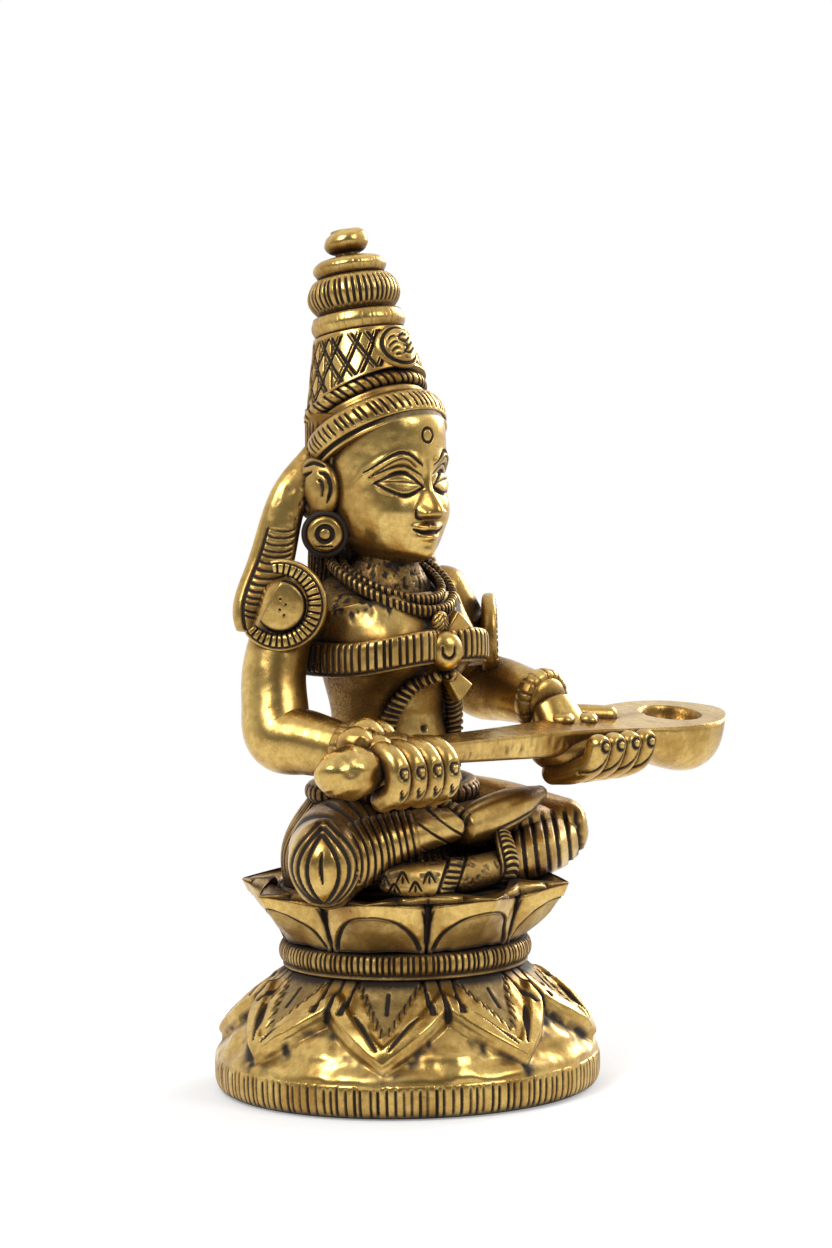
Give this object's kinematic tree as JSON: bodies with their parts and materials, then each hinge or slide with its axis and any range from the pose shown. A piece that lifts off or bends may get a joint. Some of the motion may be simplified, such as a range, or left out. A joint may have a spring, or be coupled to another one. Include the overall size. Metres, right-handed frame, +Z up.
{
  "type": "goddess idol",
  "caption": "Seated goddess idol in cast brass, cross-legged on a lotus pedestal, holding a long ladle across her lap.",
  "frame": {"origin": "on the pedestal's axis, in the plane of its foot", "axes": "+Z up; the figure faces -Y; its right hand is on the -X side and the ladle's bowl on the +X side"},
  "size_m": [0.0807, 0.0566, 0.1252],
  "materials": {
    "polished_brass": "polished",
    "worn_brass": "engraved and worn, dark in the lines",
    "dark_brass": "brown patina"
  },
  "bodies": {
    "root": {"anklet": "dark_brass", "chest_band": "worn_brass", "chest_knot": "polished_brass", "crown_bulb": "worn_brass", "crown_cap": "polished_brass", "crown_collar": "polished_brass", "crown_cone": "polished_brass", "crown_cord": "worn_brass", "crown_plaque": "polished_brass", "diadem": "polished_brass", "finial": "polished_brass", "girdle": "worn_brass", "hair_back": "dark_brass", "head": "polished_brass", "hips": "dark_brass", "inner_necklace": "worn_brass", "ladle": "polished_brass", "left_arm": "polished_brass", "left_armlet": "worn_brass", "left_armlet_boss": "polished_brass", "left_bangle": "worn_brass", "left_ear": "polished_brass", "left_earring": "polished_brass", "left_foot": "worn_brass", "left_hand": "polished_brass", "left_leg": "worn_brass", "left_sash_strand": "dark_brass", "left_tress": "worn_brass", "lotus_seat": "polished_brass", "neck": "polished_brass", "outer_necklace": "worn_brass", "pedestal": "polished_brass", "pendant": "polished_brass", "right_arm": "polished_brass", "right_armlet": "worn_brass", "right_armlet_boss": "polished_brass", "right_bangle": "worn_brass", "right_ear": "polished_brass", "right_earring": "polished_brass", "right_foot": "polished_brass", "right_hand": "polished_brass", "right_leg": "worn_brass", "right_sash_strand": "dark_brass", "right_tress": "worn_brass", "seat_disc": "dark_brass", "tenon": "worn_brass", "torso": "polished_brass", "waist_ring": "worn_brass"}
  },
  "joints": []
}
